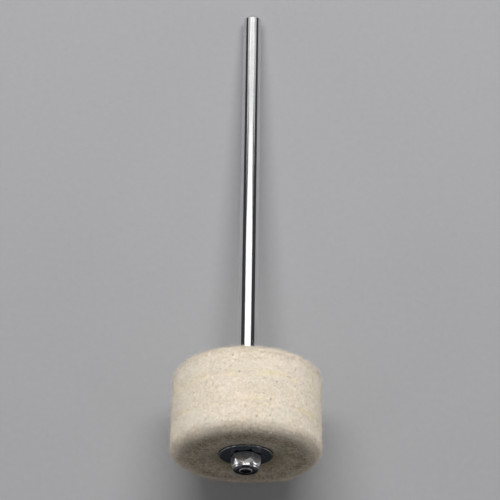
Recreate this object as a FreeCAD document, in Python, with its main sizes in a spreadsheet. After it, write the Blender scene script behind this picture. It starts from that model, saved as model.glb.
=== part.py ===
import FreeCAD, Part
import os
import Sketcher

# Bass drum beater: a laminated felt head clamped on a threaded steel shaft between two washers.
# The shaft lies along Y with its free end at +Y, and the lock nut faces -Y.
# The origin is on the shaft's axis, where the full diameter starts behind the free end's bevel.

# Driving sizes in millimetres, angles in degrees, counted along or across the shaft
SIZES = {
    "shaft_diameter": 9.5,
    "shaft_length": 260.5,
    "tip_chamfer": 1.0,
    "thread_diameter": 7.8,
    "thread_runout": 0.6,
    "thread_end_chamfer": 0.9,
    "thread_spare": 3.0,
    "thread_recess": 0.2,
    "thread_clearance": 0.05,
    "head_diameter": 72.4,
    "disc_thickness": 14.6,
    "upper_rim_round": 4.8,
    "lower_rim_round": 5.6,
    "felt_clearance": 0.1,
    "dish_reach": 9.0,
    "dish_depth": 1.8,
    "seat_depth": 3.0,
    "seat_clearance": 0.3,
    "washer_diameter": 26.0,
    "washer_thickness": 2.0,
    "washer_clearance": 0.3,
    "washer_edge": 0.4,
    "nut_across_flats": 13.0,
    "nut_bearing_diameter": 12.4,
    "nut_chamfer_angle": 30.0,
    "nut_countersink": 0.5,
    "stop_nut_height": 6.5,
    "lock_nut_height": 8.0,
    "lock_nut_hex_height": 6.0,
    "lock_nut_turn": 12.0,
    "shoulder_angle": 65.0,
    "collar_diameter": 12.5,
    "collar_round": 1.4,
    "lip_diameter": 9.2,
    "lip_thickness": 0.7,
    "ring_diameter": 10.4,
    "ring_height": 1.6,
}

# Radii that more than one piece takes
SHAFT_RADIUS = "Sizes.shaft_diameter / 2"
THREAD_RADIUS = "Sizes.thread_diameter / 2"
NUT_BORE = f"({THREAD_RADIUS} + Sizes.thread_clearance)"
HEAD_RADIUS = "Sizes.head_diameter / 2"
FELT_BORE = f"({THREAD_RADIUS} + Sizes.felt_clearance)"
WASHER_RADIUS = "Sizes.washer_diameter / 2"
SEAT_RADIUS = f"({WASHER_RADIUS} + Sizes.seat_clearance)"
NUT_CORNER = "Sizes.nut_across_flats / 2 / cos(30)"
BEARING_RADIUS = "Sizes.nut_bearing_diameter / 2"
COLLAR_RADIUS = "Sizes.collar_diameter / 2"
LIP_RADIUS = "Sizes.lip_diameter / 2"
RING_RADIUS = "Sizes.ring_diameter / 2"

# Stations along the shaft, counted from the origin towards the lock nut
THREAD_END = "(Sizes.shaft_length - Sizes.tip_chamfer)"
LOCK_NUT_END = f"({THREAD_END} + Sizes.thread_recess)"
LOCK_NUT_SEAT = f"({LOCK_NUT_END} - Sizes.lock_nut_height)"
LOWER_SEAT = f"({LOCK_NUT_SEAT} - Sizes.washer_thickness)"
FELT_LOWER_FACE = f"({LOWER_SEAT} + Sizes.seat_depth)"
LOWER_SEAM = f"({FELT_LOWER_FACE} - Sizes.disc_thickness)"
UPPER_SEAM = f"({LOWER_SEAM} - Sizes.disc_thickness)"
FELT_UPPER_FACE = f"({UPPER_SEAM} - Sizes.disc_thickness)"
UPPER_SEAT = f"({FELT_UPPER_FACE} + Sizes.seat_depth)"
STOP_NUT_SEAT = f"({UPPER_SEAT} - Sizes.washer_thickness)"
STOP_NUT_END = f"({STOP_NUT_SEAT} - Sizes.stop_nut_height)"
THREAD_START = f"({STOP_NUT_END} - Sizes.thread_spare)"

# Turns that point a piece's own +Z along the shaft, towards the lock nut or towards the free end
PIECE_AXIS = FreeCAD.Vector(0, 0, 1)
TOWARDS_NUT = FreeCAD.Rotation(PIECE_AXIS, FreeCAD.Vector(0, -1, 0))
TOWARDS_TIP = FreeCAD.Rotation(PIECE_AXIS, FreeCAD.Vector(0, 1, 0))

# Directions, in degrees from the head's side to its face, of the bevels that grind a felt rim round
RIM_ANGLES = (0, 22.5, 45, 67.5, 90)

SAME = 1e-6

doc = FreeCAD.newDocument("beater")


def size_sheet():
    """Put every driving size in a cell whose alias is the size's name."""
    sheet = doc.addObject("Spreadsheet::Sheet", "Sizes")
    for row, (alias, value) in enumerate(SIZES.items(), start=1):
        sheet.set(f"A{row}", alias)
        sheet.set(f"B{row}", str(value))
        sheet.setAlias(f"B{row}", alias)
    doc.recompute()
    return sheet


sizes = size_sheet()


def value_of(expression):
    """Evaluate a size expression to a plain number."""
    return float(sizes.evalExpression(expression))


def place(piece, station, turn):
    """Stand a piece on the shaft's axis at a station."""
    piece.Placement = FreeCAD.Placement(FreeCAD.Vector(0, 0, 0), turn)
    piece.setExpression(".Placement.Base.y", f"-({station})")


def origin_plane(body, role):
    """Find one of a body's own origin planes."""
    return next(feature for feature in body.Origin.OriginFeatures if feature.Role == role)


def half_profile(body, corners):
    """Draw a closed half-profile from (radius, height) corners, each tied to the sheet."""
    sketch = body.newObject("Sketcher::SketchObject", body.Name + "_profile")
    sketch.AttachmentSupport = [(origin_plane(body, "XZ_Plane"), "")]
    sketch.MapMode = "FlatFace"
    points = [FreeCAD.Vector(value_of(radius), value_of(height), 0) for radius, height in corners]
    count = len(points)
    for index, point in enumerate(points):
        sketch.addGeometry(Part.LineSegment(point, points[(index + 1) % count]))
    for index in range(count):
        sketch.addConstraint(Sketcher.Constraint("Coincident", index, 2, (index + 1) % count, 1))
    for index, (point, (radius, height)) in enumerate(zip(points, corners)):
        tie_corner(sketch, index, "DistanceX", point.x, radius)
        tie_corner(sketch, index, "DistanceY", point.y, height)
    return sketch


def tie_corner(sketch, line, direction, value, expression):
    """Hold the start of a line at its distance from the sketch's origin."""
    if abs(value) < SAME:
        axis = -2 if direction == "DistanceX" else -1
        sketch.addConstraint(Sketcher.Constraint("PointOnObject", line, 1, axis))
        return
    constraint = Sketcher.Constraint(direction, -1, 1, line, 1, value)
    number = sketch.addConstraint(constraint)
    sketch.setExpression(f"Constraints[{number}]", expression)


def turned_body(name, corners):
    """Turn a half-profile about the piece's own Z axis."""
    body = doc.addObject("PartDesign::Body", name)
    sketch = half_profile(body, corners)
    turning = body.newObject("PartDesign::Revolution", name + "_turning")
    turning.Profile = (sketch, [""])
    turning.ReferenceAxis = (sketch, ["V_Axis"])
    turning.Angle = 360
    sketch.Visibility = False
    doc.recompute()
    return body


def round_edge(body, edge_radius, edge_height, fillet_radius):
    """Round the circular edge that has this radius and stands at this height."""
    base = body.Tip
    radius = value_of(edge_radius)
    height = value_of(edge_height)
    edges = []
    for number, edge in enumerate(base.Shape.Edges, start=1):
        if not isinstance(edge.Curve, Part.Circle):
            continue
        same_radius = abs(edge.Curve.Radius - radius) < SAME
        same_height = abs(edge.Curve.Center.z - height) < SAME
        if same_radius and same_height:
            edges.append(f"Edge{number}")
    rounding = body.newObject("PartDesign::Fillet", body.Name + "_rounding")
    rounding.Base = (base, edges)
    rounding.setExpression("Radius", fillet_radius)
    doc.recompute()


def hexagon_nut(name, blank, height, turn):
    """Cut a turned blank out of hexagon bar."""
    bar = doc.addObject("Part::Prism", name + "_bar")
    bar.Polygon = 6
    bar.setExpression("Circumradius", NUT_CORNER)
    bar.setExpression("Height", height)
    bar.setExpression(".Placement.Rotation.Angle", turn)
    nut = doc.addObject("Part::Common", name)
    nut.Base = bar
    nut.Tool = blank
    return nut


def shaft():
    """Straight rod: bevelled free end, plain shank, rolled thread under the head."""
    runout = f"({THREAD_START} + Sizes.thread_runout)"
    bevel = "Sizes.tip_chamfer"
    corners = [
        ("0", "0"),
        (f"{SHAFT_RADIUS} - {bevel}", "0"),
        (SHAFT_RADIUS, bevel),
        (SHAFT_RADIUS, f"{bevel} + {THREAD_START}"),
        (THREAD_RADIUS, f"{bevel} + {runout}"),
        (THREAD_RADIUS, "Sizes.shaft_length - Sizes.thread_end_chamfer"),
        (f"{THREAD_RADIUS} - Sizes.thread_end_chamfer", "Sizes.shaft_length"),
        ("0", "Sizes.shaft_length"),
    ]
    rod = turned_body("shaft", corners)
    place(rod, f"-{bevel}", TOWARDS_NUT)
    return rod


def rim_corner(rim_round, angle):
    """Corner between two bevels of an outer disc's rim, on the round that they follow."""
    radius = f"{HEAD_RADIUS} - {rim_round} * (1 - cos({angle}))"
    height = f"Sizes.disc_thickness - {rim_round} * (1 - sin({angle}))"
    return radius, height


def end_disc(name, rim_round, seam, turn):
    """Outer felt disc: rim ground round, face dished towards the seat that the washer presses in."""
    thickness = "Sizes.disc_thickness"
    seat = f"{thickness} - Sizes.seat_depth"
    corners = [
        (FELT_BORE, "0"),
        (HEAD_RADIUS, "0"),
        *[rim_corner(rim_round, angle) for angle in RIM_ANGLES],
        (f"{SEAT_RADIUS} + Sizes.dish_reach", thickness),
        (SEAT_RADIUS, f"{thickness} - Sizes.dish_depth"),
        (SEAT_RADIUS, seat),
        (FELT_BORE, seat),
    ]
    disc = turned_body(name, corners)
    place(disc, seam, turn)
    return disc


def middle_disc():
    """Felt disc between the two glued seams."""
    thickness = "Sizes.disc_thickness"
    corners = [
        (FELT_BORE, "0"),
        (HEAD_RADIUS, "0"),
        (HEAD_RADIUS, thickness),
        (FELT_BORE, thickness),
    ]
    disc = turned_body("felt_disc_middle", corners)
    place(disc, UPPER_SEAM, TOWARDS_NUT)
    return disc


def washer(name, seat, turn):
    """Wide punched washer: its outer face has the broken edge, its inner face lies on the felt."""
    thickness = "Sizes.washer_thickness"
    bore = f"{THREAD_RADIUS} + Sizes.washer_clearance"
    corners = [
        (bore, "0"),
        (WASHER_RADIUS, "0"),
        (WASHER_RADIUS, f"{thickness} - Sizes.washer_edge"),
        (f"{WASHER_RADIUS} - Sizes.washer_edge", thickness),
        (bore, thickness),
    ]
    plate = turned_body(name, corners)
    place(plate, seat, turn)
    return plate


def cone_height(radius, angle):
    """Height of a cone turned on a nut, between the hexagon's corners and a radius."""
    return f"({NUT_CORNER} - {radius}) * tan(Sizes.{angle})"


def stop_nut():
    """Plain hexagon nut on the thread above the head, chamfered on both faces."""
    height = "Sizes.stop_nut_height"
    chamfer = cone_height(BEARING_RADIUS, "nut_chamfer_angle")
    sink = f"{THREAD_RADIUS} + Sizes.nut_countersink"
    corners = [
        (THREAD_RADIUS, "0"),
        (BEARING_RADIUS, "0"),
        (NUT_CORNER, chamfer),
        (NUT_CORNER, f"{height} - {chamfer}"),
        (BEARING_RADIUS, height),
        (sink, height),
        (THREAD_RADIUS, f"{height} - Sizes.nut_countersink"),
    ]
    blank = turned_body("stop_nut_blank", corners)
    nut = hexagon_nut("stop_nut", blank, height, "0")
    place(nut, STOP_NUT_SEAT, TOWARDS_TIP)
    return nut


def lock_nut():
    """Self-locking nut: hexagon with a steep shoulder, and a round collar crimped over the ring's seat."""
    height = "Sizes.lock_nut_height"
    hexagon = "Sizes.lock_nut_hex_height"
    ring_top = f"{height} - Sizes.lip_thickness"
    ring_floor = f"{ring_top} - Sizes.ring_height"
    corners = [
        (NUT_BORE, "0"),
        (BEARING_RADIUS, "0"),
        (NUT_CORNER, cone_height(BEARING_RADIUS, "nut_chamfer_angle")),
        (NUT_CORNER, f"{hexagon} - {cone_height(COLLAR_RADIUS, 'shoulder_angle')}"),
        (COLLAR_RADIUS, hexagon),
        (COLLAR_RADIUS, height),
        (LIP_RADIUS, height),
        (LIP_RADIUS, ring_top),
        (RING_RADIUS, ring_top),
        (RING_RADIUS, ring_floor),
        (NUT_BORE, ring_floor),
    ]
    blank = turned_body("lock_nut_blank", corners)
    round_edge(blank, COLLAR_RADIUS, height, "Sizes.collar_round")
    nut = hexagon_nut("lock_nut", blank, height, "Sizes.lock_nut_turn")
    place(nut, LOCK_NUT_SEAT, TOWARDS_NUT)
    return nut


def lock_ring():
    """Nylon ring that fills the seat under the collar's lip and grips the thread."""
    floor = f"({LOCK_NUT_END} - Sizes.lip_thickness - Sizes.ring_height)"
    corners = [
        (NUT_BORE, "0"),
        (RING_RADIUS, "0"),
        (RING_RADIUS, "Sizes.ring_height"),
        (NUT_BORE, "Sizes.ring_height"),
    ]
    ring = turned_body("lock_ring", corners)
    place(ring, floor, TOWARDS_NUT)
    return ring


def check(pieces):
    """Stop before writing if any object failed or any piece is not one sound solid."""
    for thing in doc.Objects:
        if "Invalid" in thing.State or "Error" in thing.State:
            raise RuntimeError(f"{thing.Label} failed: {thing.State}")
    for piece in pieces:
        if piece.Shape.isNull() or not piece.Shape.isValid():
            raise RuntimeError(f"{piece.Label} has no sound shape")
        if len(piece.Shape.Solids) != 1:
            raise RuntimeError(f"{piece.Label} is not one solid")


pieces = [
    shaft(),
    stop_nut(),
    washer("upper_washer", UPPER_SEAT, TOWARDS_TIP),
    end_disc("felt_disc_upper", "Sizes.upper_rim_round", UPPER_SEAM, TOWARDS_TIP),
    middle_disc(),
    end_disc("felt_disc_lower", "Sizes.lower_rim_round", LOWER_SEAM, TOWARDS_NUT),
    washer("lower_washer", LOWER_SEAT, TOWARDS_NUT),
    lock_nut(),
    lock_ring(),
]
doc.recompute()
check(pieces)

os.makedirs("parts", exist_ok=True)
for piece in pieces:
    piece.Shape.exportStep(f"parts/{piece.Label}.step")
    box = piece.Shape.BoundBox
    print(f"{piece.Label}: {piece.Shape.Volume:.1f} mm3, Y {box.YMin:.2f} to {box.YMax:.2f}")
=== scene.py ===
"""Looks of a bass drum beater: polished shaft, laminated wool felt head, washers and nuts."""

import math

import bmesh
import bpy
import numpy as np
from mathutils import Matrix, Vector, noise


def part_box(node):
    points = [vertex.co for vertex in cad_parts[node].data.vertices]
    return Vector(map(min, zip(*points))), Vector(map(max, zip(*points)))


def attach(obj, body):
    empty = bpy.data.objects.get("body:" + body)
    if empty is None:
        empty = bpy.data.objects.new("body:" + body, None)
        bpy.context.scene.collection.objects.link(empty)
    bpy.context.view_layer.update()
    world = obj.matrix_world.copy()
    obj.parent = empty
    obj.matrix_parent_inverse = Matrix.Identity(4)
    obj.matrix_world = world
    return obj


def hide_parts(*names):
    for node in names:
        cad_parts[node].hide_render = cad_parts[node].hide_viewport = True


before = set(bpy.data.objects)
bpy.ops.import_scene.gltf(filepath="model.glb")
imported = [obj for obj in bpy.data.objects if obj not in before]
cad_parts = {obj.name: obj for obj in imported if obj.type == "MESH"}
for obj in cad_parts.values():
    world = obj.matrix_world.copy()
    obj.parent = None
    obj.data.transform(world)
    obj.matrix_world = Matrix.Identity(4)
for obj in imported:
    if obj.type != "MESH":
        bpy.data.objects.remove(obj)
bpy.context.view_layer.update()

MM = 0.001

# Stations along the shaft (Y, metres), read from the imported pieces
TIP_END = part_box("shaft")[1].y
THREAD_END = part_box("shaft")[0].y
STOP_NUT_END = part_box("stop_nut")[1].y
STOP_NUT_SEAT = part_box("stop_nut")[0].y
UPPER_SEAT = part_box("upper_washer")[0].y
UPPER_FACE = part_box("felt_disc_upper")[1].y
UPPER_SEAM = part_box("felt_disc_upper")[0].y
LOWER_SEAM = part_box("felt_disc_lower")[1].y
LOWER_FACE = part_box("felt_disc_lower")[0].y
LOWER_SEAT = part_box("lower_washer")[1].y
LOCK_NUT_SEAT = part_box("lock_nut")[1].y
LOCK_NUT_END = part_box("lock_nut")[0].y
RING_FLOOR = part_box("lock_ring")[1].y
RING_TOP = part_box("lock_ring")[0].y

# Radii (metres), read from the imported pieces
SHAFT_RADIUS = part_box("shaft")[1].x
HEAD_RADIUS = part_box("felt_disc_middle")[1].x
WASHER_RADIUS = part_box("lower_washer")[1].x
RING_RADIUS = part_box("lock_ring")[1].x

# Shaft and its M8 thread
TIP_BEVEL = 1.0 * MM
TIP_EDGE = 0.35 * MM
CAP_RADIUS = 0.4 * MM
SHANK_STEP = 8.0 * MM
THREAD_RADIUS = 3.9 * MM
THREAD_PITCH = 1.25 * MM
THREAD_DEPTH = 0.72 * MM
THREAD_CREST = 0.14
THREAD_FLANK = 0.56
THREAD_SPARE = 3.0 * MM
THREAD_FADE = 1.2 * MM
THREAD_LEAD_IN = 0.9 * MM
THREAD_START = STOP_NUT_END + THREAD_SPARE
ROWS_PER_PITCH = 12
SHAFT_COLUMNS = 72

# Felt discs
FELT_BORE = 4.0 * MM
UPPER_RIM_ROUND = 4.8 * MM
LOWER_RIM_ROUND = 5.0 * MM
SEAT_CLEARANCE = 0.3 * MM
SEAT_RADIUS = WASHER_RADIUS + SEAT_CLEARANCE
DISH_REACH = 9.0 * MM
DISH_DEPTH = 1.8 * MM
JOINT_INSET = 0.6 * MM
SEAM_REACH = 1.0 * MM
SEAT_FADE = 1.5 * MM
FELT_STEP = 0.42 * MM
FELT_STEP_LIMIT = FELT_STEP * 1.5
RIM_STEPS = 16
HIDDEN_STEP = 6.0 * MM
FELT_COLUMNS = 540
FELT_CREASE = math.radians(65)
LUMP_SIZE = 5.5 * MM
LUMP_HEIGHT = 0.2 * MM
NAP_SIZE = 1.3 * MM
NAP_HEIGHT = 0.12 * MM

# Bulges of the handmade head: angle round the shaft from +X, distance from the nut end, reach, height
BULGES = (
    (-54.0, 2.0 * MM, 8.0 * MM, 0.8 * MM),
    (-20.0, 24.0 * MM, 22.0 * MM, 0.2 * MM),
    (-100.0, 2.0 * MM, 20.0 * MM, -0.4 * MM),
    (-172.0, 20.0 * MM, 16.0 * MM, 0.3 * MM),
    (165.0, 38.0 * MM, 16.0 * MM, -0.4 * MM),
    (100.0, 18.0 * MM, 20.0 * MM, 0.2 * MM),
)

# Loose fibres on the felt
FIBRE_RADIUS = 0.036 * MM
FIBRE_LENGTH = 1.5 * MM
FIBRE_SPREAD = 0.4
FIBRE_LIFT = (10.0, 62.0)
FIBRE_DROOP = (0.1, 0.75)
FIBRE_CURL = 0.55
FIBRE_TAPER = 0.55
STRAY_LENGTH = 3.4 * MM
STRAY_SPREAD = (0.6, 1.3)
STRAY_SHARE = 0.012
FIBRES_PER_AREA = 2.4 / MM**2
RIM_FUZZ = 3.0
FUZZ_SHOWN = 0.6
FUZZ_FLATNESS = 0.02
FIBRE_SINK = 0.12 * MM
ROOT_JITTER = 0.4
FIBRE_RINGS = 2
FIBRE_SIDES = 3
CELL_MARGIN = 0.1

# Washers and nuts
WASHER_BORE = 4.2 * MM
WASHER_EDGE = 0.4 * MM
WASHER_BACK_EDGE = 0.15 * MM
WASHER_BORE_EDGE = 0.2 * MM
WASHER_STEP = 1.5 * MM
WASHER_COLUMNS = 144
NUT_BORE = 3.95 * MM
NUT_APOTHEM = 6.5 * MM
NUT_BEARING = 6.2 * MM
NUT_SINK = 0.5 * MM
NUT_CORNER_ROUND = 0.35 * MM
NUT_EDGE = 0.13 * MM
NUT_STEP = 0.8 * MM
NUT_RUB_RADIUS = 6.9 * MM
CHAMFER_SLOPE = math.tan(math.radians(30))
SHOULDER_SLOPE = math.tan(math.radians(65))
SHOULDER_SHARES = (0.2, 0.6, 0.95)
LOCK_NUT_TURN = math.radians(12.0)
LOCK_HEX_HEIGHT = 6.0 * MM
COLLAR_RADIUS = 6.25 * MM
COLLAR_ROUND = 1.4 * MM
LIP_RADIUS = 4.6 * MM
LIP_THICKNESS = 0.7 * MM
LIP_EDGE = 0.2 * MM
RING_EDGE = 0.3 * MM

# Colours of the wool and its glue, and of the dirt on the nut end's face, which is also painted shade
WOOL_SHADOW = (0.66, 0.565, 0.435)
WOOL_LIGHT = (0.945, 0.86, 0.72)
WOOL_LAYER = (0.68, 0.60, 0.48)
WOOL_CLOUD = (0.78, 0.72, 0.64)
WOOL_BLUSH = (0.87, 0.73, 0.62)
WOOL_SHEEN = (1.0, 0.96, 0.9)
FIBRE_PALE = (0.95, 0.90, 0.81)
GLUE_STAIN = (0.85, 0.74, 0.49)
GLUE_DASH = (0.52, 0.42, 0.27)
DIRT_AND_SHADE_BROWN = (0.182, 0.112, 0.054)
DIRT_AND_SHADE_OLIVE = (0.162, 0.128, 0.047)
SPECK_BROWN = (0.23, 0.15, 0.08)

# Colours of the metal and the nylon, least roughness of the plating. The washers' darker zinc is
# painted shade and their lighter rim a painted highlight. The crimp's near black is painted shade. The
# thread's dark is partly its dull finish, partly painted shade
STEEL_BRIGHT = (0.80, 0.80, 0.80)
STEEL_SMUDGED = (0.70, 0.70, 0.71)
THREAD_DULL_AND_SHADE = (0.045, 0.043, 0.04)
NUT_ZINC = ((0.74, 0.77, 0.82), (0.84, 0.84, 0.83))
WASHER_ZINC_PAINTED_DARK = ((0.11, 0.125, 0.14), (0.15, 0.155, 0.16))
WASHER_RIM_PAINTED_HIGHLIGHT = (0.62, 0.64, 0.67)
CRIMP_PAINTED_SHADE = (0.04, 0.04, 0.045)
NYLON_DARK = (0.012, 0.014, 0.02)
NYLON_LIGHT = (0.04, 0.045, 0.06)
NUT_ROUGHNESS = 0.16
WASHER_ROUGHNESS = 0.06

# Tints of the mirror image at grazing angles; the grey ones dim it as painted shade, on the thread
# partly for its dull finish
TINT_BRIGHT = (1.0, 1.0, 1.0)
TINT_THREAD_DULL_AND_SHADE = (0.3, 0.3, 0.3)
TINT_WASHER_PAINTED_DARK = (0.3, 0.31, 0.33)
TINT_CRIMP_PAINTED_SHADE = (0.2, 0.2, 0.22)

# Camera at the photo's viewing angle
CAMERA_PLACE = Vector((0.000499, -0.625067, 0.916504))
CAMERA_FORWARD = Vector((0.0, 0.468123, -0.883663))
CAMERA_UP = Vector((-0.014886, 0.883566, 0.468071))
CAMERA_LENS = 147.37
CAMERA_SENSOR = 36.0
CAMERA_NEAR = 0.05

# Studio
FLOOR_SIZE = 8.0
FLOOR_DARK = (0.36, 0.36, 0.37)
FLOOR_LIGHT = (0.39, 0.39, 0.40)
LIGHT_TARGET = Vector((0.0, -0.14, 0.0))
LIGHT_DISTANCE = 1.15
FRONT_PLACE = Vector((0.75, -0.95, 0.45))
FRONT_SIZE = (0.3, 0.3)
FRONT_GLOW = 2.6
SIDE_PLACE = Vector((1.0, -0.22, 0.13))
SIDE_SIZE = (0.6, 0.3)
SIDE_GLOW = 3.2
WORLD_COLOUR = (0.95, 0.97, 1.0)
WORLD_GLOW = 0.045

# Soft panels over the shaft: angles counted from the free end upwards, width and glow
PANELS = {
    "key_light": ((68.0, 90.0), 1.25, 6.7),
    "streak_light": ((55.5, 68.0), 1.5, 1.35),
    "tail_light": ((48.0, 55.5), 1.0, 0.95),
    "far_light": ((14.0, 50.0), 1.9, 0.6),
    "top_light": ((106.0, 126.0), 1.6, 0.45),
}

random_draws = np.random.default_rng(20)


def arc(centre, radius, start, end, steps):
    """Points of a round stretch of a profile, from one angle to another in degrees."""
    angles = np.radians(np.linspace(start, end, steps + 1))
    return [(centre[0] + radius * math.cos(a), centre[1] + radius * math.sin(a)) for a in angles]


def divided(corners, step):
    """A profile's corners with points added so that no stretch is longer than the step."""
    points = [corners[0]]
    for (r0, y0), (r1, y1) in zip(corners, corners[1:]):
        count = max(1, math.ceil(math.hypot(r1 - r0, y1 - y0) / step))
        for k in range(1, count + 1):
            share = k / count
            points.append((r0 + (r1 - r0) * share, y0 + (y1 - y0) * share))
    return points


def turned(profile, columns):
    """Rings of points made by turning (radius, y) points about the shaft's axis."""
    angles = np.arange(columns) * (2 * math.pi / columns)
    radius, height = np.array(profile).T
    x = radius[:, None] * np.cos(angles)
    z = radius[:, None] * np.sin(angles)
    y = np.broadcast_to(height[:, None], x.shape)
    return np.stack([x, y, z], axis=-1)


def add_mesh(name, points, faces):
    """A smooth shaded mesh object."""
    mesh = bpy.data.meshes.new(name)
    mesh.from_pydata(points.reshape(-1, 3).tolist(), [], faces)
    mesh.shade_smooth()
    piece = bpy.data.objects.new(name, mesh)
    bpy.context.scene.collection.objects.link(piece)
    return piece


def ring_map(piece, rings):
    """Unroll a closed skin of rings into a picture map: columns across, the section upwards."""
    rows, columns = rings.shape[:2]
    lengths = np.linalg.norm(np.roll(rings[:, 0], -1, axis=0) - rings[:, 0], axis=-1)
    level = np.concatenate([[0.0], np.cumsum(lengths)]) / lengths.sum()
    corner = {0: (0, 0), 1: (0, 1), 2: (1, 1), 3: (1, 0)}
    layer = piece.data.uv_layers.new(name="OFBake")
    uv = np.empty((rows, columns, 4, 2))
    for k, (down, right) in corner.items():
        uv[..., k, 0] = (np.arange(columns)[None, :] + right) / columns
        uv[..., k, 1] = level[down:rows + down, None]
    layer.data.foreach_set("uv", uv.ravel())


def ring_faces(rows, columns, closed):
    """Quads between neighbouring rings, and from the last ring to the first if closed."""
    pairs = rows if closed else rows - 1
    row, column = np.meshgrid(np.arange(pairs), np.arange(columns), indexing="ij")
    below, right = (row + 1) % rows, (column + 1) % columns
    steps = ((row, column), (row, right), (below, right), (below, column))
    return np.stack([down * columns + across for down, across in steps], axis=-1).reshape(-1, 4)


def turn_outwards(piece):
    """Turn every face of a closed skin outwards."""
    skin = bmesh.new()
    skin.from_mesh(piece.data)
    bmesh.ops.recalc_face_normals(skin, faces=skin.faces)
    skin.to_mesh(piece.data)
    skin.free()


def ring_piece(name, rings, closed=True, mapped=False):
    """A piece whose skin joins rings of points; open ends are capped."""
    rows, columns = rings.shape[:2]
    faces = ring_faces(rows, columns, closed).tolist()
    if not closed:
        faces.append(list(range(columns))[::-1])
        faces.append(list(range((rows - 1) * columns, rows * columns)))
    piece = add_mesh(name, rings, faces)
    if mapped:
        ring_map(piece, rings)
    turn_outwards(piece)
    return piece


def carry(piece, body, slot, material, *nodes):
    """Put a piece on its body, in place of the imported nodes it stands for."""
    piece.data.materials.append(material)
    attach(piece, body)
    if nodes:
        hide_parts(*nodes)
    return piece


def weigh_normals(piece):
    """Keep large faces flat, so that only the narrow edges between them catch the light."""
    modifier = piece.modifiers.new("face_weight", "WEIGHTED_NORMAL")
    modifier.keep_sharp = False


# Materials


def new_material(name):
    """A material with its node tree, its Principled shader and its object coordinates."""
    material = bpy.data.materials.new(name)
    material.use_nodes = True
    tree = material.node_tree
    place = tree.nodes.new("ShaderNodeTexCoord").outputs["Object"]
    return material, tree, tree.nodes["Principled BSDF"], place


def feed(tree, socket, value):
    """Link a socket to another, or set its own value."""
    if isinstance(value, bpy.types.NodeSocket):
        tree.links.new(value, socket)
    else:
        socket.default_value = value


def noise_at(tree, place, size, detail=3.0, roughness=0.55):
    """Noise whose features are about this many metres wide."""
    node = tree.nodes.new("ShaderNodeTexNoise")
    feed(tree, node.inputs["Vector"], place)
    node.inputs["Scale"].default_value = 1.0 / size
    node.inputs["Detail"].default_value = detail
    node.inputs["Roughness"].default_value = roughness
    return node.outputs["Fac"]


def stretched(tree, place, scale):
    """Coordinates scaled along each axis."""
    node = tree.nodes.new("ShaderNodeMapping")
    feed(tree, node.inputs["Vector"], place)
    node.inputs["Scale"].default_value = scale
    return node.outputs["Vector"]


def ranged(tree, value, low, high, out_low, out_high):
    """A value mapped from one range to another, clamped."""
    node = tree.nodes.new("ShaderNodeMapRange")
    feed(tree, node.inputs["Value"], value)
    limits = {"From Min": low, "From Max": high, "To Min": out_low, "To Max": out_high}
    for name, limit in limits.items():
        node.inputs[name].default_value = limit
    return node.outputs["Result"]


def computed(tree, operation, first, second=0.0):
    """One arithmetic step between two values."""
    node = tree.nodes.new("ShaderNodeMath")
    node.operation = operation
    feed(tree, node.inputs[0], first)
    feed(tree, node.inputs[1], second)
    return node.outputs["Value"]


def mixed(tree, share, first, second):
    """A colour between two others."""
    node = tree.nodes.new("ShaderNodeMix")
    node.data_type = "RGBA"
    feed(tree, node.inputs[0], share)
    feed(tree, node.inputs[6], first if isinstance(first, bpy.types.NodeSocket) else (*first, 1.0))
    feed(tree, node.inputs[7], second if isinstance(second, bpy.types.NodeSocket) else (*second, 1.0))
    return node.outputs[2]


def bumped(tree, shader, height, strength, distance):
    """Relief finer than the mesh."""
    node = tree.nodes.new("ShaderNodeBump")
    node.inputs["Strength"].default_value = strength
    node.inputs["Distance"].default_value = distance
    feed(tree, node.inputs["Height"], height)
    tree.links.new(node.outputs["Normal"], shader.inputs["Normal"])


def axis_value(tree, place, axis):
    """One coordinate."""
    node = tree.nodes.new("ShaderNodeSeparateXYZ")
    tree.links.new(place, node.inputs["Vector"])
    return node.outputs[axis]


def axis_distance(tree, place):
    """Distance from the shaft's axis."""
    across = stretched(tree, place, (1.0, 0.0, 1.0))
    node = tree.nodes.new("ShaderNodeVectorMath")
    node.operation = "LENGTH"
    tree.links.new(across, node.inputs[0])
    return node.outputs["Value"]


def wool_colour(tree, place):
    """Cream wool: mottled by fibre bundles, by drawn layers and by clouds, yellowed along the seams."""
    fine = ranged(tree, noise_at(tree, place, 1.1 * MM, 5.0, 0.7), 0.34, 0.66, 0.0, 1.0)
    colour = mixed(tree, fine, WOOL_SHADOW, WOOL_LIGHT)
    layers = noise_at(tree, stretched(tree, place, (0.3, 1.0, 0.3)), 2.4 * MM, 2.0)
    colour = mixed(tree, ranged(tree, layers, 0.42, 0.62, 0.0, 0.42), colour, WOOL_LAYER)
    broad = ranged(tree, noise_at(tree, place, 11.0 * MM), 0.38, 0.65, 0.0, 0.5)
    colour = mixed(tree, broad, colour, WOOL_CLOUD)
    patches = noise_at(tree, stretched(tree, place, (0.7, 1.3, 0.7)), 7.0 * MM, 1.0)
    colour = mixed(tree, ranged(tree, patches, 0.5, 0.65, 0.0, 0.3), colour, WOOL_BLUSH)
    colour = mixed(tree, seam_stain(tree, place), colour, GLUE_STAIN)
    return mixed(tree, seam_dashes(tree, place), colour, GLUE_DASH)


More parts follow.
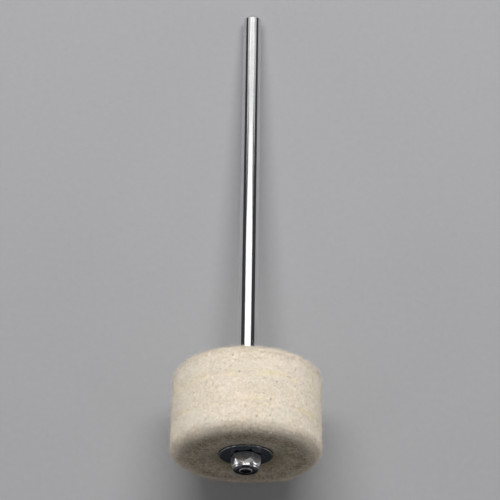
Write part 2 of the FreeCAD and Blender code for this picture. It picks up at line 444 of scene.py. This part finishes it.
def dirt_and_painted_shade(tree, place, clean):
    """Wool darkened with brown and olive on the nut end's face, partly dirt and partly painted shade,
    held back near the rim as a painted rim light, with a darker halo round the washer.
    """
    from_face = computed(tree, "SUBTRACT", axis_value(tree, place, "Y"), LOWER_FACE)
    on_face = ranged(tree, from_face, 1.8 * MM, 3.0 * MM, 1.0, 0.0)
    from_axis = axis_distance(tree, place)
    # Painted rim light: the darkening falls off towards the rim, which stays lighter.
    reach = ranged(tree, from_axis, HEAD_RADIUS - 8.0 * MM, HEAD_RADIUS - 2.5 * MM, 1.0, 0.15)
    fine = ranged(tree, noise_at(tree, place, 1.3 * MM, 5.0, 0.75), 0.38, 0.57, 0.42, 1.0)
    blotches = ranged(tree, noise_at(tree, place, 5.0 * MM, 3.0, 0.6), 0.4, 0.58, 0.75, 1.0)
    grains = computed(tree, "MULTIPLY", fine, blotches)
    flecks = specks(tree, stretched(tree, place, (1.7, 1.7, 1.7)))
    # Darker again round the washer.
    darker_round_washer = ranged(tree, from_axis, SEAT_RADIUS + 2.0 * MM, SEAT_RADIUS + 13.0 * MM, 0.8, 0.1)
    tint = ranged(tree, noise_at(tree, place, 6.0 * MM, 2.0), 0.42, 0.58, 0.0, 1.0)
    # Brown and olive dirt colours, which also paint the face's shade.
    dirt_and_shade = mixed(tree, tint, DIRT_AND_SHADE_BROWN, DIRT_AND_SHADE_OLIVE)
    spread = computed(tree, "MAXIMUM", computed(tree, "MULTIPLY", reach, grains), darker_round_washer)
    spread = computed(tree, "SUBTRACT", spread, flecks)
    return mixed(tree, computed(tree, "MULTIPLY", on_face, spread), clean, dirt_and_shade)


def seam_distance(tree, place):
    """Distance along the shaft from the nearest glued seam."""
    y = axis_value(tree, place, "Y")
    from_seams = [computed(tree, "SUBTRACT", y, seam) for seam in (UPPER_SEAM, LOWER_SEAM)]
    return computed(tree, "MINIMUM", *(computed(tree, "ABSOLUTE", gap) for gap in from_seams))


def seam_stain(tree, place):
    """Broken yellowish bands where the discs are glued."""
    drawn = stretched(tree, place, (0.5, 1.6, 0.5))
    patches = ranged(tree, noise_at(tree, drawn, 6.0 * MM, 2.0), 0.40, 0.58, 0.0, 0.6)
    band = ranged(tree, seam_distance(tree, place), 0.4 * MM, 2.6 * MM, 1.0, 0.0)
    return computed(tree, "MULTIPLY", band, patches)


def seam_dashes(tree, place):
    """Thin brown dashes of glue that show along the seams."""
    wander = ranged(tree, noise_at(tree, place, 3.0 * MM, 1.0), 0.3, 0.7, 0.0, 0.5 * MM)
    away = computed(tree, "ABSOLUTE", computed(tree, "SUBTRACT", seam_distance(tree, place), wander))
    line = ranged(tree, away, 0.1 * MM, 0.4 * MM, 0.3, 0.0)
    breaks = ranged(tree, noise_at(tree, place, 3.5 * MM, 2.0), 0.5, 0.6, 0.0, 1.0)
    return computed(tree, "MULTIPLY", line, breaks)


def specks(tree, place):
    """Sparse dark bits of vegetable matter caught in the wool."""
    wobble = tree.nodes.new("ShaderNodeVectorMath")
    wobble.operation = "MULTIPLY_ADD"
    grain = tree.nodes.new("ShaderNodeTexNoise")
    grain.inputs["Scale"].default_value = 1.0 / (0.7 * MM)
    tree.links.new(place, grain.inputs["Vector"])
    tree.links.new(grain.outputs["Color"], wobble.inputs[0])
    wobble.inputs[1].default_value = (1.2 * MM,) * 3
    tree.links.new(place, wobble.inputs[2])
    cells = tree.nodes.new("ShaderNodeTexVoronoi")
    cells.inputs["Scale"].default_value = 1.0 / (3.0 * MM)
    tree.links.new(wobble.outputs["Vector"], cells.inputs["Vector"])
    spot = ranged(tree, cells.outputs["Distance"], 0.08, 0.22, 0.9, 0.0)
    chosen = ranged(tree, axis_value(tree, cells.outputs["Color"], "X"), 0.5, 0.95, 0.0, 0.75)
    return computed(tree, "MULTIPLY", spot, chosen)


def felt_material():
    """Dense wool felt with a matted nap."""
    material, tree, shader, place = new_material("wool_felt")
    # Darkened on the nut end's face: partly dirt, partly painted shade.
    wool = dirt_and_painted_shade(tree, place, wool_colour(tree, place))
    wool = mixed(tree, specks(tree, place), wool, SPECK_BROWN)
    tree.links.new(wool, shader.inputs["Base Color"])
    shader.inputs["Roughness"].default_value = 0.95
    shader.inputs["Specular IOR Level"].default_value = 0.1
    shader.inputs["Sheen Weight"].default_value = 0.5
    shader.inputs["Sheen Roughness"].default_value = 0.45
    shader.inputs["Sheen Tint"].default_value = (*WOOL_SHEEN, 1.0)
    matted = stretched(tree, place, (1.0, 0.6, 1.0))
    bumped(tree, shader, noise_at(tree, matted, 0.35 * MM, 4.0, 0.7), 0.7, 0.2 * MM)
    return material


def fibre_material():
    """Loose wool fibres, each a little lighter or darker than the next."""
    material, tree, shader, place = new_material("wool_fibre")
    share = ranged(tree, noise_at(tree, place, 1.2 * MM, 1.0), 0.46, 0.64, 0.12, 0.75)
    # Darkened on the nut end's face: partly dirt, partly painted shade.
    wool = dirt_and_painted_shade(tree, place, wool_colour(tree, place))
    tree.links.new(mixed(tree, share, wool, FIBRE_PALE), shader.inputs["Base Color"])
    shader.inputs["Roughness"].default_value = 0.7
    shader.inputs["Specular IOR Level"].default_value = 0.25
    return material


def polished_material():
    """Ground steel rod: fine lengthwise lines, faint smudges, a thread darkened partly by its dull
    finish and partly as painted shade, and a painted highlight ring on the thread end's edge.
    """
    material, tree, shader, place = new_material("polished_steel")
    lines = noise_at(tree, stretched(tree, place, (1.0, 0.015, 1.0)), 0.12 * MM, 3.0, 0.6)
    smudge = noise_at(tree, place, 14.0 * MM, 4.0)
    colour = mixed(tree, ranged(tree, smudge, 0.35, 0.7, 0.0, 1.0), STEEL_BRIGHT, STEEL_SMUDGED)
    y = axis_value(tree, place, "Y")
    threaded = ranged(tree, y, THREAD_START - THREAD_FADE, THREAD_START, 1.0, 0.0)
    # Threaded part darkened: partly its dull finish, partly painted shade.
    colour = mixed(tree, threaded, colour, THREAD_DULL_AND_SHADE)
    from_end = computed(tree, "SUBTRACT", y, THREAD_END)
    # Painted highlight: a bright ring on the thread end's lead-in edge.
    at_end = ranged(tree, from_end, 0.3 * MM, 0.5 * MM, 0.85, 0.0)
    from_edge = computed(tree, "SUBTRACT", axis_distance(tree, place), THREAD_RADIUS - THREAD_LEAD_IN)
    edge = ranged(tree, computed(tree, "ABSOLUTE", from_edge), 0.15 * MM, 0.35 * MM, 1.0, 0.0)
    colour = mixed(tree, computed(tree, "MULTIPLY", at_end, edge), colour, STEEL_BRIGHT)
    tree.links.new(colour, shader.inputs["Base Color"])
    # Grazing reflection on the thread dimmed: partly its dull finish, partly painted shade.
    tree.links.new(mixed(tree, threaded, TINT_BRIGHT, TINT_THREAD_DULL_AND_SHADE), shader.inputs["Specular Tint"])
    shader.inputs["Metallic"].default_value = 1.0
    dull = ranged(tree, threaded, 0.0, 1.0, 0.0, 0.2)
    worn = computed(tree, "ADD", ranged(tree, smudge, 0.4, 0.75, 0.0, 0.05), dull)
    roughness = computed(tree, "ADD", ranged(tree, lines, 0.3, 0.7, 0.05, 0.12), worn)
    tree.links.new(roughness, shader.inputs["Roughness"])
    bumped(tree, shader, lines, 0.06, 0.02 * MM)
    return material


def plated_material(name, zinc, least_rough, edge_tint):
    """Zinc plating: two-tone patches, tumbling marks, rubbed rings, a painted highlight on washer rims,
    painted shade on the nut's crimped end.
    """
    material, tree, shader, place = new_material(name)
    patches = ranged(tree, noise_at(tree, place, 4.0 * MM, 3.0), 0.35, 0.65, 0.0, 1.0)
    colour = mixed(tree, patches, *zinc)
    # Painted shade: the lock nut's crimped end is coloured near black and its grazing reflection
    # dimmed.
    from_end = computed(tree, "SUBTRACT", axis_value(tree, place, "Y"), LOCK_NUT_END)
    painted_shade_at_crimp = ranged(tree, from_end, 0.6 * MM, 1.3 * MM, 0.9, 0.0)
    colour = mixed(tree, painted_shade_at_crimp, colour, CRIMP_PAINTED_SHADE)
    from_axis = axis_distance(tree, place)
    # Painted highlight: a lighter band just inside the washer's rim.
    from_rim = computed(tree, "SUBTRACT", WASHER_RADIUS, from_axis)
    colour = mixed(tree, ranged(tree, from_rim, 0.2 * MM, 0.7 * MM, 0.45, 0.0), colour, WASHER_RIM_PAINTED_HIGHLIGHT)
    tree.links.new(colour, shader.inputs["Base Color"])
    shader.inputs["Metallic"].default_value = 1.0
    marks = noise_at(tree, place, 0.3 * MM, 5.0, 0.7)
    from_rub = computed(tree, "ABSOLUTE", computed(tree, "SUBTRACT", from_axis, NUT_RUB_RADIUS))
    rubbed = ranged(tree, from_rub, 0.1 * MM, 0.9 * MM, 0.14, 0.0)
    tumbled = ranged(tree, marks, 0.3, 0.75, least_rough, least_rough + 0.1)
    roughness = computed(tree, "ADD", tumbled, rubbed)
    tree.links.new(roughness, shader.inputs["Roughness"])
    tree.links.new(mixed(tree, painted_shade_at_crimp, edge_tint, TINT_CRIMP_PAINTED_SHADE), shader.inputs["Specular Tint"])
    bumped(tree, shader, marks, 0.12, 0.03 * MM)
    return material


def nylon_material():
    """Dark nylon, cut a little by the thread."""
    material, tree, shader, place = new_material("nylon")
    grain = noise_at(tree, place, 0.5 * MM, 3.0)
    colour = mixed(tree, grain, NYLON_DARK, NYLON_LIGHT)
    tree.links.new(colour, shader.inputs["Base Color"])
    tree.links.new(ranged(tree, grain, 0.3, 0.7, 0.35, 0.6), shader.inputs["Roughness"])
    bumped(tree, shader, grain, 0.2, 0.05 * MM)
    return material


def floor_material():
    """Plain pale studio floor."""
    material, tree, shader, place = new_material("studio_floor")
    grain = noise_at(tree, place, 3.0 * MM, 3.0)
    colour = mixed(tree, grain, FLOOR_DARK, FLOOR_LIGHT)
    tree.links.new(colour, shader.inputs["Base Color"])
    shader.inputs["Roughness"].default_value = 0.9
    shader.inputs["Specular IOR Level"].default_value = 0.1
    return material


# Shaft


def shaft_profile():
    """Half outline of the rod from its free end to the thread's end, with close rows on the thread."""
    full = SHAFT_RADIUS
    tip = [(CAP_RADIUS, TIP_END), (full - TIP_BEVEL - TIP_EDGE, TIP_END)]
    tip += [(full - TIP_BEVEL + TIP_EDGE * 0.1, TIP_END - TIP_EDGE * 0.3)]
    tip += [(full - TIP_EDGE * 0.3, TIP_END - TIP_BEVEL - TIP_EDGE * 0.1)]
    tip += [(full, TIP_END - TIP_BEVEL - TIP_EDGE)]
    straight = [(full, tip[-1][1] - TIP_EDGE), (full, THREAD_START + TIP_EDGE)]
    shank = divided(straight, SHANK_STEP) + [(full, THREAD_START)]
    rows = math.ceil((THREAD_START - THREAD_END) / THREAD_PITCH * ROWS_PER_PITCH)
    thread = [(THREAD_RADIUS, y) for y in np.linspace(THREAD_START, THREAD_END, rows)[1:]]
    return tip + shank + thread + [(CAP_RADIUS, THREAD_END)]


def thread_cut(turn):
    """Depth of a rolled thread at a share of its pitch: crest flat, flank, root flat, flank."""
    away = np.abs((turn % 1.0) - 0.5) * 2
    return np.clip((away - THREAD_CREST) / THREAD_FLANK, 0.0, 1.0)


def beater_shaft(material):
    """Polished rod whose lower end carries a rolled M8 thread."""
    rings = turned(shaft_profile(), SHAFT_COLUMNS)
    x, y, z = (rings[..., k] for k in range(3))
    radius = np.hypot(x, z)
    angle = np.arctan2(z, x)
    threaded = (y < THREAD_START) & (radius > THREAD_RADIUS * 0.9)
    depth = THREAD_DEPTH * thread_cut(y / THREAD_PITCH + angle / (2 * math.pi))
    depth *= np.clip((THREAD_START - y) / THREAD_FADE, 0.0, 1.0)
    lead_in = np.clip(THREAD_LEAD_IN - (y - THREAD_END), 0.0, None)
    cut = np.minimum(THREAD_RADIUS - depth, THREAD_RADIUS - lead_in)
    scale = np.where(threaded, cut / radius, 1.0)
    rings[..., 0] *= scale
    rings[..., 2] *= scale
    piece = ring_piece("beater_shaft", rings, closed=False)
    return carry(piece, "shaft", "polished_steel", material, "shaft")


# Felt head


def dish(face, outwards):
    """Section of the face from the washer's seat outwards, dipped where the washer draws it in."""
    steps = math.ceil(DISH_REACH / FELT_STEP)
    shares = [k / steps for k in range(steps + 1)]
    return [(SEAT_RADIUS + DISH_REACH * s, face - outwards * DISH_DEPTH * (1 - s) ** 2) for s in shares]


def end_disc_profile(face, seam, seat, rim_round, outwards):
    """Closed section of an outer disc; outwards is the sign of Y from its seam to its face."""
    inner = face - outwards * rim_round
    inset = HEAD_RADIUS - JOINT_INSET
    joint = [(inset, seam), (FELT_BORE, seam), (FELT_BORE, seat), (SEAT_RADIUS, seat)]
    dipped = dish(face, outwards)
    flat = divided([dipped[-1], (HEAD_RADIUS - rim_round, face)], FELT_STEP)
    rim = arc((HEAD_RADIUS - rim_round, inner), rim_round, 90 * outwards, 0, RIM_STEPS)
    side = divided([(HEAD_RADIUS, inner), (HEAD_RADIUS, seam)], FELT_STEP)
    return divided(joint, HIDDEN_STEP) + dipped + flat[1:] + rim[1:] + side[1:]


def middle_disc_profile():
    """Closed section of the disc between the seams."""
    inset = HEAD_RADIUS - JOINT_INSET
    joint = [(inset, LOWER_SEAM), (FELT_BORE, LOWER_SEAM), (FELT_BORE, UPPER_SEAM), (inset, UPPER_SEAM)]
    side = [(HEAD_RADIUS, UPPER_SEAM), (HEAD_RADIUS, LOWER_SEAM)]
    return divided(joint, HIDDEN_STEP) + divided(side, FELT_STEP)


def ring_normals(rings):
    """Outward normals of a closed skin of rings."""
    along = np.roll(rings, -1, axis=0) - np.roll(rings, 1, axis=0)
    around = np.roll(rings, -1, axis=1) - np.roll(rings, 1, axis=1)
    normals = np.cross(along, around)
    normals /= np.maximum(np.linalg.norm(normals, axis=-1, keepdims=True), 1e-12)
    radius = np.hypot(rings[..., 0], rings[..., 2])
    rim = np.unravel_index(np.argmax(radius), radius.shape)
    outwards = rings[rim][0] * normals[rim][0] + rings[rim][2] * normals[rim][2]
    return normals if outwards > 0 else -normals


def shown_share(rings):
    """How far each point of a felt skin is open to view: 1 on rim and faces, 0 in seat and bore."""
    radius = np.hypot(rings[..., 0], rings[..., 2])
    return np.clip((radius - SEAT_RADIUS) / SEAT_FADE, 0.0, 1.0)


def bulged(points):
    """Height of the hand-shaped head's unevenness over the true form."""
    height = np.zeros(points.shape[:2])
    for angle, depth, reach, rise in BULGES:
        turn = math.radians(angle)
        centre = (HEAD_RADIUS * math.cos(turn), LOWER_FACE + depth, HEAD_RADIUS * math.sin(turn))
        away = np.linalg.norm(points - np.array(centre), axis=-1)
        height += rise * np.exp(-((away / reach) ** 2))
    return height


def felt_relief(points):
    """Height of the matted surface over the true form: broad lumps and short nap."""
    flat = points.reshape(-1, 3)
    height = np.empty(len(flat))
    for k, (x, y, z) in enumerate(flat):
        lump = noise.noise(Vector((x, y, z)) / LUMP_SIZE)
        nap = noise.fractal(Vector((x, y, z)) / NAP_SIZE, 0.8, 2.1, 2)
        height[k] = LUMP_HEIGHT * lump + NAP_HEIGHT * nap
    return height.reshape(points.shape[:2])


def seam_normals(rings, normals):
    """Normals that point straight out of the rim near the seams, so that glued edges stay together."""
    for seam in (UPPER_SEAM, LOWER_SEAM):
        near = np.abs(rings[..., 1] - seam) < SEAM_REACH
        normals[..., 1] = np.where(near, 0.0, normals[..., 1])
    return unit(normals)


def felt_disc(name, node, profile, material):
    """One disc of the head, with its matted surface in the mesh."""
    rings = turned(profile, FELT_COLUMNS)
    normals = ring_normals(rings)
    relief = (felt_relief(rings) + bulged(rings)) * shown_share(rings)
    rings += seam_normals(rings, normals.copy()) * relief[..., None]
    piece = ring_piece(name, rings, mapped=True)
    piece.data.set_sharp_from_angle(angle=FELT_CREASE)
    carry(piece, "head", "wool_felt", material, node)
    return rings, normals


def fuzziness(rings, normals):
    """How thickly fibres stand on each point of a felt skin: none in the joints, most on the rims."""
    rounds = ((UPPER_FACE, UPPER_RIM_ROUND), (LOWER_FACE, LOWER_RIM_ROUND))
    share = np.where(shown_share(rings) > FUZZ_SHOWN, 1.0, 0.0)
    joint = np.abs(np.abs(normals[..., 1]) - 1) < FUZZ_FLATNESS
    for seam in (UPPER_SEAM, LOWER_SEAM):
        share[joint & (np.abs(rings[..., 1] - seam) < SEAM_REACH)] = 0.0
    radius = np.hypot(rings[..., 0], rings[..., 2])
    for face, rim_round in rounds:
        rim = (np.abs(rings[..., 1] - face) < rim_round) & (radius > HEAD_RADIUS - rim_round)
        share[rim] *= RIM_FUZZ
    return share


def fibre_roots(rings, normals):
    """Random roots on the part of a felt skin that shows, with their normals."""
    across = np.linalg.norm(np.roll(rings, -1, axis=1) - rings, axis=-1)
    along = np.linalg.norm(np.roll(rings, -1, axis=0) - rings, axis=-1)
    area = (across * np.minimum(along, FELT_STEP_LIMIT) * fuzziness(rings, normals)).ravel()
    count = int(area.sum() * FIBRES_PER_AREA)
    picks = random_draws.choice(area.size, size=count, p=area / area.sum())
    jitter = random_draws.normal(0.0, FELT_STEP * ROOT_JITTER, (count, 3))
    at_normal = normals.reshape(-1, 3)[picks]
    jitter -= at_normal * np.sum(jitter * at_normal, axis=1, keepdims=True)
    return rings.reshape(-1, 3)[picks] + jitter, at_normal


def unit(vectors):
    """Vectors scaled to length one."""
    return vectors / np.maximum(np.linalg.norm(vectors, axis=-1, keepdims=True), 1e-12)


def fibre_lines(roots, normals):
    """Centre points of curled fibres that lean over the surface."""
    count = len(roots)
    lean = unit(np.cross(normals, random_draws.normal(size=(count, 3))))
    side = np.cross(normals, lean)
    length = FIBRE_LENGTH * np.exp(random_draws.normal(0.0, FIBRE_SPREAD, count))
    stray = random_draws.random(count) < STRAY_SHARE
    length = np.where(stray, STRAY_LENGTH * random_draws.uniform(*STRAY_SPREAD, count), length)
    lift = np.radians(random_draws.uniform(*FIBRE_LIFT, count))
    droop = random_draws.uniform(*FIBRE_DROOP, count)
    curl = random_draws.normal(0.0, FIBRE_CURL, count)
    lines = []
    for share in np.linspace(0.0, 1.0, FIBRE_RINGS + 1):
        out = np.sin(lift) * share - droop * np.sin(lift) * share**2
        line = lean * (np.cos(lift) * share)[:, None] + normals * out[:, None]
        line += side * (curl * share**2)[:, None]
        lines.append(roots - normals * FIBRE_SINK + line * length[:, None])
    return np.stack(lines, axis=1)


def fibre_points(lines):
    """Corner points of thin tapered strands about their centre lines, with one point at each tip."""
    heading = unit(np.diff(lines, axis=1))
    first = unit(np.cross(heading, random_draws.normal(size=(len(lines), 1, 3))))
    second = np.cross(heading, first)
    corners = []
    for ring in range(FIBRE_RINGS):
        radius = FIBRE_RADIUS * (1.0 - FIBRE_TAPER * ring / FIBRE_RINGS)
        for corner in range(FIBRE_SIDES):
            angle = 2 * math.pi * corner / FIBRE_SIDES
            offset = first[:, ring] * math.cos(angle) + second[:, ring] * math.sin(angle)
            corners.append(lines[:, ring] + offset * radius)
    corners.append(lines[:, -1])
    return np.stack(corners, axis=1)


def fibre_faces():
    """Faces of one strand: root cap, sides and tip."""
    faces = [list(range(FIBRE_SIDES))[::-1]]
    for ring in range(FIBRE_RINGS - 1):
        low, high = ring * FIBRE_SIDES, (ring + 1) * FIBRE_SIDES
        for corner in range(FIBRE_SIDES):
            after = (corner + 1) % FIBRE_SIDES
            faces.append([low + corner, low + after, high + after, high + corner])
    last = (FIBRE_RINGS - 1) * FIBRE_SIDES
    tip = FIBRE_RINGS * FIBRE_SIDES
    for corner in range(FIBRE_SIDES):
        faces.append([last + corner, last + (corner + 1) % FIBRE_SIDES, tip])
    return faces


def strand_map(piece, strand, count):
    """Give each strand a cell of its own in a picture map."""
    across = math.ceil(math.sqrt(count))
    corners = np.array([corner for face in strand for corner in face])
    around, along = corners % FIBRE_SIDES / FIBRE_SIDES, corners // FIBRE_SIDES / FIBRE_RINGS
    within = np.stack([around, along], axis=-1)
    cells = np.stack([np.arange(count) % across, np.arange(count) // across], axis=-1)
    inside = CELL_MARGIN + (1 - 2 * CELL_MARGIN) * within
    uv = (cells[:, None, :] + inside[None, :, :]) / across
    layer = piece.data.uv_layers.new(name="OFBake")
    layer.data.foreach_set("uv", uv.ravel())


def felt_fuzz(name, rings, normals, material):
    """Loose fibres standing on one disc."""
    roots, at_normal = fibre_roots(rings, normals)
    points = fibre_points(fibre_lines(roots, at_normal))
    count, per_strand = points.shape[:2]
    strand = fibre_faces()
    faces = [[k * per_strand + corner for corner in face] for k in range(count) for face in strand]
    piece = add_mesh(name, points, faces)
    strand_map(piece, strand, count)
    return carry(piece, "head", "wool_felt", material)


def felt_head():
    """Three felt discs glued face to face, and the fuzz on them."""
    felt, fibre = felt_material(), fibre_material()
    profiles = {
        "upper": end_disc_profile(UPPER_FACE, UPPER_SEAM, UPPER_SEAT, UPPER_RIM_ROUND, 1),
        "middle": middle_disc_profile(),
        "lower": end_disc_profile(LOWER_FACE, LOWER_SEAM, LOWER_SEAT, LOWER_RIM_ROUND, -1),
    }
    for place, profile in profiles.items():
        rings, normals = felt_disc(f"felt_{place}", f"felt_disc_{place}", profile, felt)
        felt_fuzz(f"felt_{place}_fuzz", rings, normals, fibre)


# Washers and nuts


def washer(name, node, body, seat, outwards, material):
    """Punched washer with a rounded outer edge, a sharper burred back edge and a broken bore edge."""
    low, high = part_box(node)
    outer = high.y if outwards > 0 else low.y
    back, bore_edge = WASHER_BACK_EDGE, WASHER_BORE_EDGE
    profile = [(WASHER_BORE, seat), (WASHER_RADIUS - back, seat)]
    profile += [(WASHER_RADIUS, seat + outwards * back)]
    centre = (WASHER_RADIUS - WASHER_EDGE, outer - outwards * WASHER_EDGE)
    profile += arc(centre, WASHER_EDGE, 0, 90 * outwards, 6)
    flat = divided([profile[-1], (WASHER_BORE + bore_edge, outer)], WASHER_STEP)
    profile += flat[1:] + [(WASHER_BORE, outer - outwards * bore_edge)]
    piece = ring_piece(name, turned(profile, WASHER_COLUMNS))
    weigh_normals(piece)
    return carry(piece, body, "plated_steel", material, node)


def hexagon_outline(turn):
    """Points of a hexagon with slightly rounded corners, (radius, angle) pairs."""
    points = []
    reach = (NUT_APOTHEM - NUT_CORNER_ROUND) / math.cos(math.pi / 6)
    for number in range(6):
        corner = turn + number * math.pi / 3
        centre = (reach * math.cos(corner), reach * math.sin(corner))
        rounded = arc(centre, NUT_CORNER_ROUND, math.degrees(corner) - 30, math.degrees(corner) + 30, 4)
        if points:
            points += divided([points[-1], rounded[0]], NUT_STEP)[1:-1]
        points += rounded
    points += divided([points[-1], points[0]], NUT_STEP)[1:-1]
    return np.array([(math.hypot(x, z), math.atan2(z, x)) for x, z in points])


def nut_rings(outline, rows, seat, outwards):
    """Rings of a nut from (radius, height) rows, each a number or one value per outline point."""
    count = len(outline)
    rings = np.empty((len(rows), count, 3))
    for k, (radius, height) in enumerate(rows):
        radius = np.broadcast_to(radius, count)
        rings[k, :, 0] = radius * np.cos(outline[:, 1])
        rings[k, :, 1] = seat + outwards * np.broadcast_to(height, count)
        rings[k, :, 2] = radius * np.sin(outline[:, 1])
    return rings


def chamfered(reach, inner, level, direction):
    """Rows from a chamfer's inner edge out to a hexagon's side, with the edge between them rounded."""
    drop = (reach - inner) * CHAMFER_SLOPE
    on_chamfer = (reach - NUT_EDGE, level - direction * (drop - NUT_EDGE * CHAMFER_SLOPE))
    on_edge = (reach - NUT_EDGE * 0.22, level - direction * (drop + NUT_EDGE * 0.2))
    on_side = (reach, level - direction * (drop + NUT_EDGE))
    return [(inner, level), on_chamfer, on_edge, on_side]


def shoulder(reach):
    """Rows down a hexagon's side, over a rounded edge and along the steep cone to the collar."""
    drop = (reach - COLLAR_RADIUS) * SHOULDER_SLOPE
    rows = [(reach, LOCK_HEX_HEIGHT - drop - NUT_EDGE * 1.5)]
    rows += [(reach - NUT_EDGE * 0.12, LOCK_HEX_HEIGHT - drop)]
    for share in SHOULDER_SHARES:
        rows += [(reach + (COLLAR_RADIUS - reach) * share, LOCK_HEX_HEIGHT - drop * (1 - share))]
    return rows


def stop_nut(material):
    """Plain chamfered hexagon nut above the head."""
    outline = hexagon_outline(0.0)
    reach = outline[:, 0]
    height = STOP_NUT_END - STOP_NUT_SEAT
    bore = THREAD_RADIUS
    rows = [(bore, NUT_SINK), (bore + NUT_SINK, 0.0)]
    rows += chamfered(reach, NUT_BEARING, 0.0, -1)
    rows += chamfered(reach, NUT_BEARING, height, 1)[::-1]
    rows += [(bore + NUT_SINK, height), (bore, height - NUT_SINK)]
    piece = ring_piece("stop_nut_body", nut_rings(outline, rows, STOP_NUT_SEAT, 1))
    weigh_normals(piece)
    return carry(piece, "shaft", "plated_steel", material, "stop_nut")


def lock_nut(material):
    """Self-locking nut: hexagon with a steep shoulder, and a collar rolled over the nylon ring."""
    outline = hexagon_outline(LOCK_NUT_TURN)
    reach = outline[:, 0]
    height = LOCK_NUT_SEAT - LOCK_NUT_END
    ring_floor = LOCK_NUT_SEAT - RING_FLOOR
    under_lip = height - LIP_THICKNESS
    rows = [(NUT_BORE, ring_floor), (NUT_BORE, NUT_SINK), (NUT_BORE + NUT_SINK, 0.0)]
    rows += chamfered(reach, NUT_BEARING, 0.0, -1)
    rows += shoulder(reach)
    rows += [(COLLAR_RADIUS, LOCK_HEX_HEIGHT + NUT_EDGE)]
    rows += arc((COLLAR_RADIUS - COLLAR_ROUND, height - COLLAR_ROUND), COLLAR_ROUND, 0, 90, 8)
    rows += arc((LIP_RADIUS + LIP_EDGE, height - LIP_EDGE), LIP_EDGE, 90, 180, 4)
    rows += [(LIP_RADIUS, under_lip), (RING_RADIUS, under_lip), (RING_RADIUS, ring_floor)]
    piece = ring_piece("lock_nut_body", nut_rings(outline, rows, LOCK_NUT_SEAT, -1))
    weigh_normals(piece)
    return carry(piece, "nut", "plated_steel", material, "lock_nut")


def lock_ring(material):
    """Nylon ring under the collar's lip, bulged a little where the thread cuts it."""
    inner, outer, floor, top = NUT_BORE + RING_EDGE, RING_RADIUS, RING_FLOOR, RING_TOP
    profile = [(NUT_BORE, floor), (outer, floor), (outer, top), (inner, top)]
    profile += arc((inner, top + RING_EDGE), RING_EDGE, 270, 180, 5)[1:]
    piece = ring_piece("lock_ring_insert", turned(profile, SHAFT_COLUMNS))
    return carry(piece, "nut", "nylon", material, "lock_ring")


def hardware():
    """Metal pieces that carry and clamp the felt."""
    bright = plated_material("plated_steel", NUT_ZINC, NUT_ROUGHNESS, TINT_BRIGHT)
    # Washers: the same plating painted darker, with a dimmed grazing reflection, as painted shade.
    dark = plated_material("plated_steel_painted_dark", WASHER_ZINC_PAINTED_DARK, WASHER_ROUGHNESS, TINT_WASHER_PAINTED_DARK)
    beater_shaft(polished_material())
    stop_nut(bright)
    washer("upper_washer_plate", "upper_washer", "shaft", UPPER_SEAT, 1, dark)
    washer("lower_washer_plate", "lower_washer", "washer", LOWER_SEAT, -1, dark)
    lock_nut(bright)
    lock_ring(nylon_material())


# Studio


def floor_slope():
    """Rise of the floor that touches the shaft's tip and the head's rim, as an angle about X."""
    rim_centre = Vector((UPPER_FACE - UPPER_RIM_ROUND, -(HEAD_RADIUS - UPPER_RIM_ROUND)))
    reach = Vector((0.0, -SHAFT_RADIUS)) - rim_centre
    return math.atan2(reach.y, reach.x) + math.asin(UPPER_RIM_ROUND / reach.length)


def studio_floor():
    """Large pale floor under the lying beater."""
    half = FLOOR_SIZE / 2
    mesh = bpy.data.meshes.new("studio_floor")
    corners = [(-half, -half, 0), (half, -half, 0), (half, half, 0), (-half, half, 0)]
    mesh.from_pydata(corners, [], [(0, 1, 2, 3)])
    mesh.materials.append(floor_material())
    floor = bpy.data.objects.new("studio_floor", mesh)
    floor.location = (0.0, 0.0, -SHAFT_RADIUS)
    floor.rotation_euler = (floor_slope(), 0.0, 0.0)
    bpy.context.scene.collection.objects.link(floor)


def soft_box(name, place, size, glow):
    """A rectangular soft light of a given glow that faces the beater."""
    light = bpy.data.lights.new(name, "AREA")
    light.shape = "RECTANGLE"
    light.size, light.size_y = size
    light.energy = glow * math.pi * size[0] * size[1]
    lamp = bpy.data.objects.new(name, light)
    lamp.location = place
    lamp.rotation_euler = (LIGHT_TARGET - place).to_track_quat("-Z", "Y").to_euler()
    lamp.visible_camera = False
    bpy.context.scene.collection.objects.link(lamp)


def panel(name, angles, width, glow):
    """A soft light over the shaft, between two angles counted from the free end upwards."""
    middle, half = math.radians(sum(angles) / 2), math.radians(angles[1] - angles[0]) / 2
    place = LIGHT_TARGET + LIGHT_DISTANCE * Vector((0.0, math.cos(middle), math.sin(middle)))
    soft_box(name, place, (width, 2 * LIGHT_DISTANCE * math.tan(half)), glow)


def studio_light():
    """Soft panels over the shaft, soft boxes beside the head and before the nut, a dim world."""
    for name, (angles, width, glow) in PANELS.items():
        panel(name, angles, width, glow)
    for name, side in (("left", -1), ("right", 1)):
        soft_box(f"{name}_light", SIDE_PLACE * Vector((side, 1, 1)), SIDE_SIZE, SIDE_GLOW)
        soft_box(f"front_{name}_light", FRONT_PLACE * Vector((side, 1, 1)), FRONT_SIZE, FRONT_GLOW)
    world = bpy.data.worlds.new("studio")
    world.use_nodes = True
    backdrop = world.node_tree.nodes["Background"]
    backdrop.inputs["Color"].default_value = (*WORLD_COLOUR, 1.0)
    backdrop.inputs["Strength"].default_value = WORLD_GLOW
    bpy.context.scene.world = world
    bpy.context.scene.view_settings.view_transform = "Standard"


def photo_camera():
    """Camera at the photo's place, square to its line of sight."""
    lens = bpy.data.cameras.new("photo_camera")
    lens.lens = CAMERA_LENS
    lens.sensor_width = CAMERA_SENSOR
    lens.clip_start = CAMERA_NEAR
    camera = bpy.data.objects.new("photo_camera", lens)
    back = -CAMERA_FORWARD.normalized()
    right = CAMERA_UP.cross(back).normalized()
    up = back.cross(right)
    turn = Matrix((right, up, back)).transposed().to_4x4()
    camera.matrix_world = Matrix.Translation(CAMERA_PLACE) @ turn
    bpy.context.scene.collection.objects.link(camera)
    bpy.context.scene.camera = camera


photo_camera()
hardware()
felt_head()
studio_floor()
studio_light()
